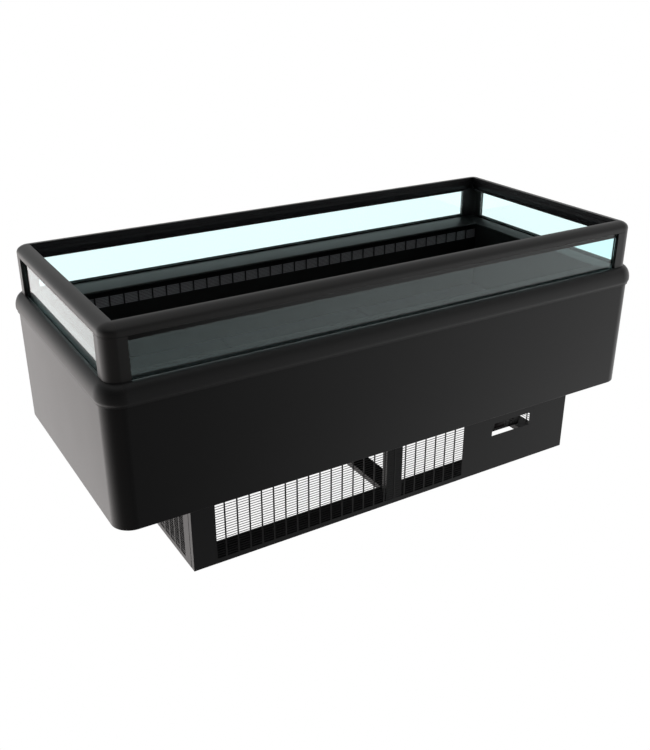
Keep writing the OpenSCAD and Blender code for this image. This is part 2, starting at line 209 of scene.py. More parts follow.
def orange_peel_group():
    """Fine bumps of a sprayed or moulded skin: Scale and Strength in, Normal out."""
    group = bpy.data.node_groups.new("orange_peel", "ShaderNodeTree")
    group_socket(group, "Scale", "INPUT", "NodeSocketFloat", 900.0)
    group_socket(group, "Strength", "INPUT", "NodeSocketFloat", 0.1)
    group_socket(group, "Normal", "OUTPUT", "NodeSocketVector")
    entry = add_node(group, "NodeGroupInput")
    leave = add_node(group, "NodeGroupOutput")
    place = add_node(group, "ShaderNodeTexCoord")
    noise = add_node(group, "ShaderNodeTexNoise", {"Detail": 2.0})
    bump = add_node(group, "ShaderNodeBump", {"Distance": 0.0004})
    link(group, (place.outputs["Object"], noise.inputs["Vector"]),
         (entry.outputs["Scale"], noise.inputs["Scale"]),
         (noise.outputs["Fac"], bump.inputs["Height"]),
         (entry.outputs["Strength"], bump.inputs["Strength"]),
         (bump.outputs["Normal"], leave.inputs["Normal"]))
    return group


def handled_group():
    """Slow changes of tone and gloss: Colour, Gloss and Change in, Colour and Roughness out."""
    group = bpy.data.node_groups.new("handled_surface", "ShaderNodeTree")
    group_socket(group, "Colour", "INPUT", "NodeSocketColor", (0.01, 0.01, 0.01, 1))
    group_socket(group, "Roughness", "INPUT", "NodeSocketFloat", 0.4)
    group_socket(group, "Change", "INPUT", "NodeSocketFloat", 0.08)
    group_socket(group, "Scale", "INPUT", "NodeSocketFloat", 5.0)
    group_socket(group, "Colour", "OUTPUT", "NodeSocketColor")
    group_socket(group, "Roughness", "OUTPUT", "NodeSocketFloat")
    entry = add_node(group, "NodeGroupInput")
    leave = add_node(group, "NodeGroupOutput")
    place = add_node(group, "ShaderNodeTexCoord")
    cloud = add_node(group, "ShaderNodeTexNoise", {"Detail": 5.0, "Roughness": 0.6})
    centred = add_node(group, "ShaderNodeMath", {1: 0.5}, operation="SUBTRACT")
    swing = add_node(group, "ShaderNodeMath", operation="MULTIPLY")
    rough = add_node(group, "ShaderNodeMath", operation="ADD", use_clamp=True)
    shade = add_node(group, "ShaderNodeMath", {1: 3.0, 2: 1.0}, operation="MULTIPLY_ADD")
    tone = add_node(group, "ShaderNodeVectorMath", operation="SCALE")
    link(group, (place.outputs["Object"], cloud.inputs["Vector"]),
         (entry.outputs["Scale"], cloud.inputs["Scale"]),
         (cloud.outputs["Fac"], centred.inputs[0]),
         (centred.outputs[0], swing.inputs[0]),
         (entry.outputs["Change"], swing.inputs[1]),
         (swing.outputs[0], rough.inputs[0]),
         (entry.outputs["Roughness"], rough.inputs[1]),
         (swing.outputs[0], shade.inputs[0]),
         (entry.outputs["Colour"], tone.inputs[0]),
         (shade.outputs[0], tone.inputs["Scale"]),
         (tone.outputs["Vector"], leave.inputs["Colour"]),
         (rough.outputs[0], leave.inputs["Roughness"]))
    return group


def shared_group(name):
    """A shader group by name, built the first time it is asked for."""
    makers = {"orange_peel": orange_peel_group, "handled_surface": handled_group}
    return bpy.data.node_groups.get(name) or makers[name]()


def coated(name, colour, roughness, change=0.06, cloud=5.0, grain=900.0, bump=0.08,
           metallic=0.0, level=0.5, coat=0.0):
    """A material with slow changes of gloss and a fine skin."""
    material = bpy.data.materials.new(name)
    material.use_nodes = True
    tree = material.node_tree
    shader = tree.nodes["Principled BSDF"]
    shader.inputs["Metallic"].default_value = metallic
    shader.inputs["Specular IOR Level"].default_value = level
    shader.inputs["Coat Weight"].default_value = coat
    shader.inputs["Coat Roughness"].default_value = 0.1
    surface = tree.nodes.new("ShaderNodeGroup")
    surface.node_tree = shared_group("handled_surface")
    surface.inputs["Colour"].default_value = (*colour, 1)
    surface.inputs["Roughness"].default_value = roughness
    surface.inputs["Change"].default_value = change
    surface.inputs["Scale"].default_value = cloud
    skin = tree.nodes.new("ShaderNodeGroup")
    skin.node_tree = shared_group("orange_peel")
    skin.inputs["Scale"].default_value = grain
    skin.inputs["Strength"].default_value = bump
    link(tree, (surface.outputs["Colour"], shader.inputs["Base Color"]),
         (surface.outputs["Roughness"], shader.inputs["Roughness"]),
         (skin.outputs["Normal"], shader.inputs["Normal"]))
    return material


def toughened_glass(name):
    """Clear toughened glass with a pale tint, and faint smears."""
    material = bpy.data.materials.new(name)
    material.use_nodes = True
    tree = material.node_tree
    shader = tree.nodes["Principled BSDF"]
    tint = bpy.context.scene.freezer_colours.glass
    shader.inputs["Base Color"].default_value = (*tint, 1)
    shader.inputs["Transmission Weight"].default_value = 1.0
    shader.inputs["IOR"].default_value = 1.5
    place = add_node(tree, "ShaderNodeTexCoord")
    smear = add_node(tree, "ShaderNodeTexNoise", {"Scale": 6.0, "Detail": 6.0})
    haze = add_node(tree, "ShaderNodeMapRange", {"From Min": 0.62, "From Max": 0.8, "To Max": 0.012})
    link(tree, (place.outputs["Object"], smear.inputs["Vector"]),
         (smear.outputs["Fac"], haze.inputs["Value"]),
         (haze.outputs["Result"], shader.inputs["Roughness"]))
    return material


# Each finish: base colour or the name of a colour setting, roughness, and its other values.
FINISHES = {
    # satin powder coat of the cabinet walls
    "wall_powder_coat": ("wall", 0.34, dict(change=0.04, grain=700, bump=0.05, level=0.24)),
    # fine-textured powder coat of the base
    "base_powder_coat": ("base", 0.42, dict(change=0.05, grain=1200, bump=0.1, level=0.26)),
    # satin anodised extrusion
    "rail_anodised": ("rail", 0.4, dict(change=0.04, cloud=9, grain=1500, bump=0.015, level=0.45)),
    # moulded PVC of the bumper
    "bumper_vinyl": ("wall", 0.42, dict(change=0.04, cloud=7, grain=1000, bump=0.05, level=0.34)),
    # food-side coating of tank and ledge
    "tank_coating": ("tank", 0.42, dict(change=0.06, grain=800, bump=0.05, level=0.3)),
    # painted shade: a darker, nearly glossless copy of the tank coating for the front ledge below the glass,
    # standing in for the shade there
    "ledge_painted_shade": ((0.003, 0.0035, 0.0035), 0.7, dict(grain=800, bump=0.05, level=0.03)),
    # black coating of the duct panels
    "duct_coating": ((0.004, 0.004, 0.004), 0.5, dict(grain=800, bump=0.05, level=0.25)),
    # grey moulded air slats, their colour made lighter as painted light for the dim well
    "slat_grey_painted_light": ((0.15, 0.15, 0.16), 0.5, dict(grain=1200, bump=0.1)),
    # black extruded plastic of the lid tracks
    "track_plastic": ((0.012, 0.011, 0.013), 0.45, dict(grain=1500, bump=0.02, level=0.2)),
    # black sealing rubber
    "gasket_rubber": ((0.005, 0.005, 0.005), 0.6, dict(grain=1500, bump=0.1, level=0.15)),
    # edge strip under the glass, its pale colour a painted highlight for the bright line along the glass foot
    "sill_painted_highlight": ((0.24, 0.27, 0.27), 0.45, dict(grain=1500, bump=0.1)),
    # moulded nylon of feet, fans and fittings
    "black_nylon": ((0.012, 0.012, 0.012), 0.5, dict(grain=1400, bump=0.2)),
    # zinc-plated steel
    "zinc_plate": ((0.52, 0.52, 0.54), 0.32,
                   dict(change=0.2, cloud=40, grain=500, bump=0.1, metallic=1.0)),
    # bare aluminium fins
    "bare_aluminium": ((0.72, 0.73, 0.74), 0.3,
                       dict(change=0.15, cloud=30, grain=600, bump=0.1, metallic=1.0)),
    # drawn copper tube
    "drawn_copper": ("copper", 0.25,
                     dict(change=0.2, cloud=30, grain=700, bump=0.05, metallic=1.0)),
    # gloss black enamel of the compressor
    "black_enamel": ((0.01, 0.01, 0.01), 0.25, dict(change=0.1, grain=500, bump=0.1, coat=0.4)),
    # rigid insulation foam
    "rigid_foam": ((0.72, 0.66, 0.42), 0.8, dict(change=0.1, cloud=20, grain=250, bump=0.5)),
    # dark acrylic window of the controller
    "smoked_acrylic": ((0.006, 0.002, 0.002), 0.3, dict(grain=300, bump=0.0, level=0.12)),
}

SLOT_FINISH = {
    "wall_paint": "wall_powder_coat", "base_steel": "base_powder_coat",
    "tank_paint": "tank_coating", "bumper_pvc": "bumper_vinyl",
    "rail_aluminium": "rail_anodised", "clear_glass": "toughened_glass",
    "foot_nylon": "black_nylon", "zinc_steel": "zinc_plate", "foam": "rigid_foam",
    "fin_aluminium": "bare_aluminium", "fan_plastic": "black_nylon",
    "compressor_paint": "black_enamel",
}

SOFTENED = ("base_rails", "cross_rails", "uprights", "front_panel_left", "front_panel_right",
            "deck_pan_left", "deck_pan_middle", "deck_pan_right", "unit_tray",
            "condenser_fan_shroud", "evaporator_fan_plate", "control_bracket", "controller",
            "key_up", "key_down", "power_switch")


def finish(name):
    """The material of a finish, made the first time it is asked for."""
    found = bpy.data.materials.get(name)
    if found:
        return found
    if name == "toughened_glass":
        return toughened_glass(name)
    colour, roughness, others = FINISHES[name]
    if isinstance(colour, str):
        colour = getattr(bpy.context.scene.freezer_colours, colour)
    return coated(name, colour, roughness, **others)


# ----------------------------------------------------------------------- mesh tools

def round_edges(bm, width, sharp=math.radians(40)):
    """Rounds the edges that are sharper than an angle."""
    edges = [e for e in bm.edges if e.is_manifold and e.calc_face_angle(0) > sharp]
    bmesh.ops.bevel(bm, geom=edges, offset=width, offset_type="OFFSET", segments=2,
                    profile=0.5, affect="EDGES", material=-1, clamp_overlap=True)


def finish_piece(bm, name, slot, replaces=(), look=None, body="cabinet", width=0.0, smooth=SOFT):
    """Turns a bmesh into a finished piece that rides on a body, in its slot's look or another."""
    bmesh.ops.remove_doubles(bm, verts=bm.verts, dist=1e-6)
    bmesh.ops.recalc_face_normals(bm, faces=bm.faces)
    if width:
        round_edges(bm, width)
    for face in bm.faces:
        face.smooth = True
    for edge in bm.edges:
        edge.smooth = edge.calc_face_angle(math.pi) < smooth
    mesh = bpy.data.meshes.new(name)
    bm.to_mesh(mesh)
    bm.free()
    mesh.materials.append(finish(look or SLOT_FINISH[slot]))
    piece = bpy.data.objects.new(name, mesh)
    place_piece(piece, body)
    if replaces:
        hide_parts(*replaces)


def place_piece(piece, body):
    """Puts a piece in the scene, on its body."""
    bpy.context.scene.collection.objects.link(piece)
    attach(piece, body)


def closed_loop(bm, points):
    """Vertices and edges of one closed outline."""
    verts = [bm.verts.new(p) for p in points]
    edges = [bm.edges.new((verts[i - 1], verts[i])) for i in range(len(verts))]
    return verts, edges


def run_outline(bm, points, along):
    """A closed prism: an outline moved along a vector."""
    verts, edges = closed_loop(bm, points)
    face = bm.faces.new(verts)
    made = bmesh.ops.extrude_face_region(bm, geom=[face])
    moved = [g for g in made["geom"] if isinstance(g, bmesh.types.BMVert)]
    bmesh.ops.translate(bm, vec=along, verts=moved)


def turn_outline(bm, section, sx, sy, steps):
    """A closed quarter turn of a (distance out, height) section about one core corner."""
    centre = Vector((sx * CORE_X, sy * CORE_Y, 0))
    points = [centre + Vector((sx * u, 0, z)) for u, z in section]
    verts, edges = closed_loop(bm, points)
    angle = math.pi / 2 * sx * sy
    bmesh.ops.spin(bm, geom=verts + edges, cent=centre, axis=(0, 0, 1), dvec=(0, 0, 0),
                   angle=angle, steps=steps, use_merge=False, use_duplicate=False)
    rim = [e for e in bm.edges if e.is_boundary]
    bmesh.ops.holes_fill(bm, edges=rim, sides=0)


def long_points(section, sy, x):
    """A section placed across a long side, at one X."""
    return [Vector((x, sy * (CORE_Y + u), z)) for u, z in section]


def end_points(section, sx, y):
    """A section placed across an end, at one Y."""
    return [Vector((sx * (CORE_X + u), y, z)) for u, z in section]


def arc(cx, cz, rx, rz, start, stop, steps):
    """Points of an elliptical arc, angles in degrees."""
    angles = [math.radians(start + (stop - start) * i / steps) for i in range(steps + 1)]
    return [(cx + rx * math.cos(a), cz + rz * math.sin(a)) for a in angles]


def add_box(bm, low, high):
    """A box between two corners."""
    made = bmesh.ops.create_cube(bm, size=1.0)
    size = Vector(high) - Vector(low)
    bmesh.ops.scale(bm, vec=size, verts=made["verts"])
    bmesh.ops.translate(bm, vec=(Vector(high) + Vector(low)) / 2, verts=made["verts"])


def add_round(bm, centre, radius, length, axis, segments=24):
    """A rod from a centre point along an axis."""
    lift = Matrix.Translation((0, 0, length / 2))
    bmesh.ops.create_cone(bm, cap_ends=True, segments=segments, radius1=radius, radius2=radius,
                          depth=length, matrix=Matrix.Translation(centre) @ AXIS_TURN[axis] @ lift)


def revolve(bm, profile, centre, axis="Z", steps=32):
    """A (radius, distance along) profile turned once about an axis through a point."""
    turn = AXIS_TURN[axis].to_3x3()
    centre = Vector(centre)
    verts = [bm.verts.new(centre + turn @ Vector((r, 0, h))) for r, h in profile]
    edges = [bm.edges.new(pair) for pair in zip(verts, verts[1:])]
    bmesh.ops.spin(bm, geom=verts + edges, cent=centre, axis=turn @ Vector((0, 0, 1)),
                   dvec=(0, 0, 0), angle=math.tau, steps=steps, use_merge=True)
    bmesh.ops.remove_doubles(bm, verts=bm.verts, dist=1e-6)


def add_bend(bm, centre, radius, tube, outward):
    """Half a turn of tube in an upright plane, from below a point to above it."""
    start = Matrix.Translation(Vector(centre) - Vector((0, 0, radius)))
    ring = bmesh.ops.create_circle(bm, segments=12, radius=tube,
                                   matrix=start @ Matrix.Rotation(math.pi / 2, 4, "Y"))["verts"]
    edges = list({edge for vert in ring for edge in vert.link_edges})
    bmesh.ops.spin(bm, geom=ring + edges, cent=centre, axis=(0, 1, 0), dvec=(0, 0, 0),
                   angle=-outward * math.pi, steps=10)


def slotted_sheet(bm, columns, rows, place, thick):
    """A sheet cut by grid lines, its odd cells taken out as slots, then given a thickness."""
    nx, nz = len(columns) - 1, len(rows) - 1
    made = bmesh.ops.create_grid(bm, x_segments=nx, y_segments=nz, size=1.0)
    faces = {face for vert in made["verts"] for face in vert.link_faces}
    slots = []
    for face in faces:
        centre = face.calc_center_median()
        i, j = int((centre.x + 1) / 2 * nx), int((centre.y + 1) / 2 * nz)
        if i % 2 == 1 and j % 2 == 1:
            slots.append(face)
    for vert in made["verts"]:
        i = round((vert.co.x + 1) / 2 * nx)
        j = round((vert.co.y + 1) / 2 * nz)
        vert.co = place(columns[i], rows[j])
    bmesh.ops.delete(bm, geom=slots, context="FACES")
    made = bmesh.ops.extrude_face_region(bm, geom=[face for face in faces if face.is_valid])
    moved = [g for g in made["geom"] if isinstance(g, bmesh.types.BMVert)]
    bmesh.ops.translate(bm, vec=thick, verts=moved)


def slot_lines(start, stop, first, pitch, slot, count):
    """Grid lines of a row of slots between two edges; odd cells are the slots."""
    lines = [start]
    for k in range(count):
        lines += [first + k * pitch, first + k * pitch + slot]
    return lines + [stop]


def sweep_round(bm, section, steps):
    """A closed (distance out, height) section swept once round the cabinet."""
    verts, edges = closed_loop(bm, long_points(section, -1, -CORE_X))
    geom = verts + edges
    corners = ((CORE_X, -CORE_Y), (CORE_X, CORE_Y), (-CORE_X, CORE_Y), (-CORE_X, -CORE_Y))
    for quarter, (x, y) in enumerate(corners):
        side = 2 * (CORE_Y if quarter % 2 else CORE_X)
        along = Matrix.Rotation(quarter * math.pi / 2, 3, "Z") @ Vector((side, 0, 0))
        geom = bmesh.ops.spin(bm, geom=geom, cent=(0, 0, 0), axis=(0, 0, 1), dvec=along,
                              angle=0.0, steps=1)["geom_last"]
        geom = bmesh.ops.spin(bm, geom=geom, cent=(x, y, 0), axis=(0, 0, 1), dvec=(0, 0, 0),
                              angle=math.pi / 2, steps=steps)["geom_last"]


def pipe(name, points, radius):
    """A bent copper tube along given points, its bends rounded."""
    curve = bpy.data.curves.new(name, "CURVE")
    curve.dimensions = "3D"
    curve.bevel_depth = radius
    curve.bevel_resolution = 4
    curve.use_fill_caps = True
    spline = curve.splines.new("NURBS")
    spline.points.add(len(points) - 1)
    for target, point in zip(spline.points, points):
        target.co = (*point, 1.0)
    spline.order_u = 3
    spline.resolution_u = 6
    spline.use_endpoint_u = True
    curve.materials.append(finish("drawn_copper"))
    place_piece(bpy.data.objects.new(name, curve), "cabinet")


def four_lengths(part, section, end_section, gap, slot, replaces, **others):
    """Straight lengths on all four sides, each short of its corners by a gap."""
    for name, sy in (("front", -1), ("rear", 1)):
        bm = bmesh.new()
        run_outline(bm, long_points(section, sy, -CORE_X + gap),
                    Vector((2 * (CORE_X - gap), 0, 0)))
        finish_piece(bm, f"{part}_{name}_length", slot, replaces.get(name, ()), **others)
    for name, sx in (("left", -1), ("right", 1)):
        bm = bmesh.new()
        run_outline(bm, end_points(end_section, sx, -CORE_Y + gap),
                    Vector((0, 2 * (CORE_Y - gap), 0)))
        finish_piece(bm, f"{part}_{name}_length", slot, replaces.get(name, ()), **others)


# ------------------------------------------------------------------------- sections

def bumper_outline():
    """Bumper section: rolled lower lip, elliptical face, seat and groove for the glass."""
    low, high = BUMP_LOW.z, BUMP_HIGH.z
    belly = low + 18 * MM
    lip = WALL_R + 2 * MM
    return ([(0, low + 1 * MM), (WALL_R - 2 * MM, low + 1 * MM), (WALL_R - 2 * MM, low)]
            + arc(lip + 1 * MM, low + 2.5 * MM, 2.5 * MM, 2.5 * MM, -90, -40, 4)
            + arc(BUMP_U - 12 * MM, belly, 12 * MM, belly - low - 2.5 * MM, -48, 0, 8)
            + arc(40 * MM, belly, BUMP_U - 40 * MM, high - belly, 4, 88, 20)
            + [(39.5 * MM, high - 0.5 * MM), (36 * MM, SEAT_Z), (GLASS_OUT_U + 0.3 * MM, SEAT_Z),
               (GLASS_OUT_U + 0.3 * MM, GLASS_LOW.z - 0.2 * MM),
               (GLASS_U, GLASS_LOW.z - 0.2 * MM), (GLASS_U, LEDGE_LOW.z), (0, LEDGE_LOW.z)])


def rail_outline(grooved=True, brim=0.0):
    """Top rail section: rounded outside, a brim and a pocket inside for the lid track."""
    top, low = RAIL_HIGH.z, RAIL_LOW.z
    wide, tall = 38 * MM, 24 * MM
    if grooved:
        inside = [(brim + 1 * MM, top), (brim, top - 1 * MM), (brim, top - 2.6 * MM),
                  (TRACK_U, top - 2.6 * MM), (TRACK_U, low)]
        glass = [(GLASS_U, low), (GLASS_U, GLASS_HIGH.z + 0.2 * MM),
                 (GLASS_OUT_U + 0.3 * MM, GLASS_HIGH.z + 0.2 * MM), (GLASS_OUT_U + 0.3 * MM, LIP_Z)]
    else:
        inside = arc(3 * MM, top - 3 * MM, 3 * MM, 3 * MM, 90, 180, 4) + [(0, low)]
        glass = [(GLASS_U, low), (GLASS_U, LIP_Z)]
    return ([(RAIL_U - 1 * MM, LIP_Z), (RAIL_U, LIP_Z + 1 * MM)]
            + arc(RAIL_U - wide, top - tall, wide, tall, 0, 90, 14) + inside + glass)


def track_outline():
    """Lid track inside the top rail: two lips over a deep recess."""
    steps = ((3.2, 2.8), (2.6, 5), (0, 13), (0, 14.5), (4, 14.6), (4, 17.5), (2.8, 17.6), (0, 27),
             (0, 30), (8, 30), (8, 48), (0, 48))
    top, low = RAIL_HIGH.z, RAIL_LOW.z
    return ([(u * MM, top - drop * MM) for u, drop in steps]
            + [(0, low), (TRACK_U, low), (TRACK_U, top - 2.8 * MM)])


def post_outline():
    """Corner post section, from the glass line to the outer face."""
    return [(GLASS_U, SEAT_Z), (36 * MM, SEAT_Z), (40 * MM, BUMP_HIGH.z - 0.2 * MM),
            (RAIL_U, BUMP_HIGH.z - 0.2 * MM), (RAIL_U, LIP_Z), (GLASS_U, LIP_Z)]


def ledge_outline():
    """Ledge section as (distance from the middle, height): slope, nose and underside."""
    inner, low = -LEDGE_LOW.y, LEDGE_LOW.z
    inner_edge = 335 * MM
    nose = 4 * MM
    return ([(inner, low), (inner, LEDGE_HIGH.z), (inner - 26 * MM, LEDGE_HIGH.z - 1.2 * MM)]
            + arc(inner_edge + nose, low + nose, nose, nose * 0.95, 100, 250, 10)
            + [(inner_edge + 3 * nose, low)])


# ------------------------------------------------------------------------ operators

class FREEZER_OT_studio(bpy.types.Operator):
    """Camera, white floor and the light around it"""

    bl_idname = "freezer.studio"
    bl_label = "Studio"

    def execute(self, context):
        studio = context.scene.freezer_studio
        self.camera(context, studio)
        self.sky(context, studio)
        self.floor(context)
        context.scene.view_settings.view_transform = "Standard"
        return {"FINISHED"}

    def camera(self, context, studio):
        """The camera at its fitted place."""
        data = bpy.data.cameras.new("studio_camera")
        data.lens = studio.lens
        data.sensor_width = 36.0
        camera = bpy.data.objects.new("studio_camera", data)
        camera.location = studio.camera_at
        camera.rotation_euler = (math.pi / 2 - studio.pitch, 0.0, -studio.yaw)
        context.scene.collection.objects.link(camera)
        context.scene.camera = camera

    def sky(self, context, studio):
        """White behind, darker overhead and in front, brightest low on the left."""
        world = bpy.data.worlds.new("studio_sky")
        world.use_nodes = True
        context.scene.world = world
        tree = world.node_tree
        back = tree.nodes["Background"]
        place = add_node(tree, "ShaderNodeTexCoord")
        parts = add_node(tree, "ShaderNodeSeparateXYZ")
        link(tree, (place.outputs["Generated"], parts.inputs[0]))

        def ramp(axis, start, stop, first, last):
            step = add_node(tree, "ShaderNodeMapRange",
                            {"From Min": start, "From Max": stop, "To Min": first, "To Max": last},
                            interpolation_type="SMOOTHSTEP")
            link(tree, (parts.outputs[axis], step.inputs["Value"]))
            return step.outputs["Result"]

        def join(operation, *values):
            node = add_node(tree, "ShaderNodeMath", operation=operation)
            for socket, value in zip(node.inputs, values):
                if isinstance(value, float):
                    socket.default_value = value
                else:
                    link(tree, (value, socket))
            return node.outputs[0]

        rays = add_node(tree, "ShaderNodeLightPath").outputs
        screens = join("MAXIMUM", ramp("Y", -0.35, 0.7, *FRONT_TO_BACK),
                       ramp("X", 0.15, 0.85, 0.0, RIGHT_SCREEN))
        corner = join("MULTIPLY", ramp("X", -0.18, -0.02, 1.0, 0.0), ramp("Z", -0.2, 0.05, 1.0, 0.0))
        lit = join("MULTIPLY", join("MULTIPLY", screens, join("MULTIPLY_ADD", corner, LOW_LEFT, 1.0)),
                   ramp("Z", 0.05, 0.45, 1.0, OVERHEAD))
        lit = join("MAXIMUM", lit, ramp("Z", 0.55, 0.95, 0.0, TOP_SCREEN))
        seen = join("MAXIMUM", rays["Is Camera Ray"], rays["Is Transmission Ray"])
        choice = add_node(tree, "ShaderNodeMix", {"B": 1.0}, data_type="FLOAT")
        warmth = add_node(tree, "ShaderNodeMix", {"A": (1, 1, 1, 1), "B": WARM}, data_type="RGBA")
        shade = add_node(tree, "ShaderNodeVectorMath", operation="SCALE")
        link(tree, (seen, choice.inputs["Factor"]), (lit, choice.inputs["A"]),
             (join("MULTIPLY", corner, join("SUBTRACT", 1.0, seen)), warmth.inputs["Factor"]),
             (warmth.outputs["Result"], shade.inputs[0]),
             (choice.outputs["Result"], shade.inputs["Scale"]),
             (shade.outputs["Vector"], back.inputs["Color"]),
             (join("MULTIPLY_ADD", rays["Is Transmission Ray"], THROUGH_GLASS_LIFT, studio.sky),
              back.inputs["Strength"]))

    def floor(self, context):
        """A pale floor that the lights don't dim."""
        bm = bmesh.new()
        bmesh.ops.create_grid(bm, x_segments=1, y_segments=1, size=30.0)
        bmesh.ops.translate(bm, vec=(0, 0, -1 * MM), verts=bm.verts)
        mesh = bpy.data.meshes.new("studio_floor")
        bm.to_mesh(mesh)
        bm.free()
        floor = bpy.data.objects.new("studio_floor", mesh)
        context.scene.collection.objects.link(floor)
        material = bpy.data.materials.new("pale_floor")
        material.use_nodes = True
        tree = material.node_tree
        shader = tree.nodes["Principled BSDF"]
        shader.inputs["Base Color"].default_value = (0, 0, 0, 1)
        shader.inputs["Specular IOR Level"].default_value = 0.0
        shader.inputs["Emission Color"].default_value = (1, 1, 1, 1)
        rays = add_node(tree, "ShaderNodeLightPath")
        lift = add_node(tree, "ShaderNodeMath", {1: THROUGH_GLASS_LIFT, 2: 1.0},
                        operation="MULTIPLY_ADD")
        link(tree, (rays.outputs["Is Transmission Ray"], lift.inputs[0]),
             (lift.outputs[0], shader.inputs["Emission Strength"]))
        mesh.materials.append(material)
        floor.visible_glossy = False
        floor.visible_diffuse = False
        floor.visible_shadow = False


class FREEZER_OT_frame_finishes(bpy.types.Operator):
    """Finishes of the parts that come straight from the frame"""

    bl_idname = "freezer.frame_finishes"
    bl_label = "Frame part finishes"

    def execute(self, context):
        for part in frame["record"]["subparts"]:
            node = NODES[part["node"]]
            node.data.materials.clear()
            node.data.materials.append(finish(SLOT_FINISH[part["material_slot"]]))
        return {"FINISHED"}


class FREEZER_OT_walls(bpy.types.Operator):
    """Wrapped wall sheet with its rounded corners, and the underside"""

    bl_idname = "freezer.walls"
    bl_label = "Walls"

    def execute(self, context):
        sizes = context.scene.freezer_sizes
        low, high = WALL_LOW.z, WALL_HIGH.z
        out, hem, t = WALL_R, sizes.hem, SHEET
        section = ([(out, high), (out, low + hem)]
                   + arc(out - hem, low + hem, hem, hem, 0, -90, 6)[1:]
                   + [(out - hem, low + t)]
                   + arc(out - hem, low + hem, hem - t, hem - t, -90, 0, 6)[1:]
                   + [(out - t, high)])
        bm = bmesh.new()
        sweep_round(bm, section, sizes.turn_steps)
        finish_piece(bm, "wall_sheet", "wall_paint",
                     ("outer_panel_front", "outer_panel_rear", "outer_panel_left",
                      "outer_panel_right", "outer_corners"))
        self.underside(out - hem)
        return {"FINISHED"}

    def underside(self, out):
        """The flat sheet under the cabinet, rounded like the walls."""
        quarter = arc(CORE_X, CORE_Y, out, out, 0, 90, 12)
        outline = (quarter + [(-x, y) for x, y in reversed(quarter)]
                   + [(-x, -y) for x, y in quarter] + [(x, -y) for x, y in reversed(quarter)])
        bm = bmesh.new()
        run_outline(bm, [Vector((x, y, WALL_LOW.z)) for x, y in outline], Vector((0, 0, SHEET)))
        finish_piece(bm, "underside_sheet", "wall_paint", ("underside_panel",),
                     look="base_powder_coat")


class FREEZER_OT_bumper(bpy.types.Operator):
    """Bumper lengths and their moulded corners"""

    bl_idname = "freezer.bumper"
    bl_label = "Bumper"

    def execute(self, context):
        section = bumper_outline()
        four_lengths("bumper", section, section, 0.4 * MM, "bumper_pvc",
                     {"front": ("bumper_front",), "rear": ("bumper_rear",),
                      "left": ("bumper_ends",)})
        corner = [(max(u, 0.1 * MM), z) for u, z in section]
        for sx, sy, side in CORNERS:
            bm = bmesh.new()
            turn_outline(bm, corner, sx, sy, context.scene.freezer_sizes.turn_steps)
            finish_piece(bm, f"bumper_corner_{side}", "bumper_pvc",
                         ("bumper_corners",) if side == "left_front" else ())
        return {"FINISHED"}


class FREEZER_OT_top_rail(bpy.types.Operator):
    """Top rail lengths, their corners and the corner posts"""

    bl_idname = "freezer.top_rail"
    bl_label = "Top rail"

    def execute(self, context):
        steps = context.scene.freezer_sizes.turn_steps
        gap = 0.15 * MM
        four_lengths("rail", rail_outline(), rail_outline(brim=-2 * MM), gap, "rail_aluminium",
                     {"front": ("frame_front",), "rear": ("frame_rear",), "left": ("frame_ends",)},
                     smooth=CRISP)
        four_lengths("lid_track", track_outline(), track_outline(), gap, "rail_aluminium", {},
                     look="track_plastic", smooth=CRISP)
        corner = [(max(u, 0.1 * MM), z) for u, z in rail_outline(grooved=False)]
        for sx, sy, side in CORNERS:
            first = side == "left_front"
            bm = bmesh.new()
            turn_outline(bm, corner, sx, sy, steps)
            finish_piece(bm, f"rail_corner_{side}", "rail_aluminium",
                         ("frame_corners",) if first else ())
            bm = self.post(sx, sy, steps)
            finish_piece(bm, f"corner_post_{side}", "rail_aluminium",
                         ("corner_posts",) if first else ())
        return {"FINISHED"}

    def post(self, sx, sy, steps):
        """One post: a leg on each side of a rounded corner, swept in one piece."""
        leg = CORE_X - GLASS_HIGH.x
        start = [Vector((sx * (CORE_X - leg), sy * (CORE_Y + u), z)) for u, z in post_outline()]
        bm = bmesh.new()
        verts, edges = closed_loop(bm, start)
        geom = bmesh.ops.spin(bm, geom=verts + edges, cent=(0, 0, 0), axis=(0, 0, 1),
                              dvec=(sx * leg, 0, 0), angle=0.0, steps=1)["geom_last"]
        centre = (sx * CORE_X, sy * CORE_Y, 0)
        geom = bmesh.ops.spin(bm, geom=geom, cent=centre, axis=(0, 0, 1), dvec=(0, 0, 0),
                              angle=-sx * sy * math.pi / 2, steps=steps)["geom_last"]
        bmesh.ops.spin(bm, geom=geom, cent=(0, 0, 0), axis=(0, 0, 1),
                       dvec=(0, -sy * (CORE_Y - GLASS_END_HIGH.y), 0), angle=0.0, steps=1)
        bmesh.ops.remove_doubles(bm, verts=bm.verts, dist=1e-6)
        bmesh.ops.holes_fill(bm, edges=[e for e in bm.edges if e.is_boundary], sides=0)
        return bm


